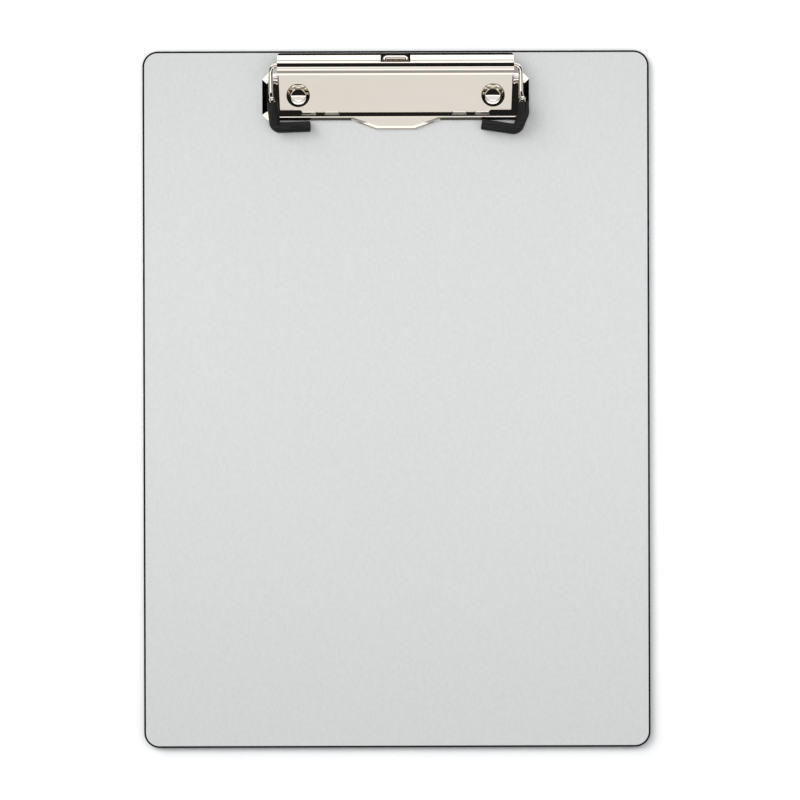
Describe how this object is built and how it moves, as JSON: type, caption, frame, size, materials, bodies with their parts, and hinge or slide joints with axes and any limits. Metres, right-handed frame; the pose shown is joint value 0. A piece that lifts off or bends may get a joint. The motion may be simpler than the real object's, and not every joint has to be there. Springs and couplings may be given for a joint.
{
  "type": "clipboard",
  "caption": "Slim clipboard with a silver face, a low-profile rolled lever clip and a wire bail that ends in rubber grips.",
  "frame": {"origin": "middle of the board's flat back, on the surface it lies on", "axes": "+X across the board to the right, +Y along the board towards the clip, +Z out of the writing face"},
  "size_m": [0.229, 0.315, 0.0116],
  "materials": {
    "core_plastic": "black, fine matt grain",
    "silver_sheet": "pale silver, fine satin",
    "nickel_sheet": "bright nickel plate, slightly warm",
    "spring_wire": "bright nickel-plated spring wire",
    "grip_rubber": "black, faint lengthwise striations",
    "fastener_steel": "bright nickel-plated steel"
  },
  "bodies": {
    "board": {"board_core": "core_plastic", "front_sheet": "silver_sheet", "clip_base": "nickel_sheet", "rivet_left": "fastener_steel", "rivet_right": "fastener_steel", "washer_left": "fastener_steel", "washer_right": "fastener_steel", "pivot_pin_left": "fastener_steel", "pivot_pin_right": "fastener_steel"},
    "lever": {"lever_plate": "nickel_sheet"},
    "bail": {"wire_bail": "spring_wire", "grip_left": "grip_rubber", "grip_right": "grip_rubber"}
  },
  "joints": [
    {"name": "lever_press", "type": "hinge", "parent": "board", "child": "lever", "pos_m": [0, 0.1293, 0.0048], "axis": [-1, 0, 0], "range_deg": [0, 6.6], "stiffness_Nm_per_rad": 1.2, "springref_deg": -34.38},
    {"name": "bail_rock", "type": "hinge", "parent": "board", "child": "bail", "pos_m": [0, 0.1443, 0.0066], "axis": [-1, 0, 0], "range_deg": [0, 22]}
  ],
  "couplings": [
    {"joint": "bail_rock", "follows": "lever_press", "ratio": 3.3333}
  ]
}
